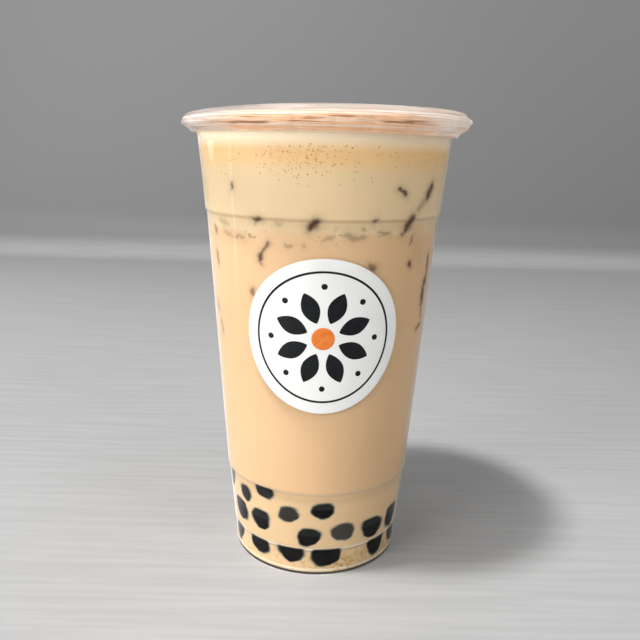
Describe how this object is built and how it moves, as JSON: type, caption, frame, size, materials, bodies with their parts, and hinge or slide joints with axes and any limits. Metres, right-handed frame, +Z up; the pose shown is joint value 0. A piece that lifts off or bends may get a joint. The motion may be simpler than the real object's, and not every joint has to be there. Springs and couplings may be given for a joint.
{
  "type": "bubble tea",
  "caption": "Iced milk tea with tapioca pearls in a clear sealed plastic cup with a round label, for a counter or table.",
  "frame": {"origin": "centre of the cup's base, on the surface it stands on", "axes": "+Z up to the sealing film, -Y out of the label"},
  "size_m": [0.0986, 0.0986, 0.16],
  "materials": {
    "clear_plastic": "clear glossy plastic",
    "film": "thin glossy sealing film",
    "paper": "white satin sticker",
    "foam": "smooth milk foam",
    "tea": "cloudy milk tea",
    "tapioca": "glossy black tapioca",
    "ice": "wet clear ice",
    "print": "printed ink"
  },
  "bodies": {
    "root": {"cup": "clear_plastic", "seal_film": "film", "label": "paper", "milk_foam": "foam", "milk_tea": "tea", "tapioca_pearls": "tapioca"}
  },
  "joints": []
}
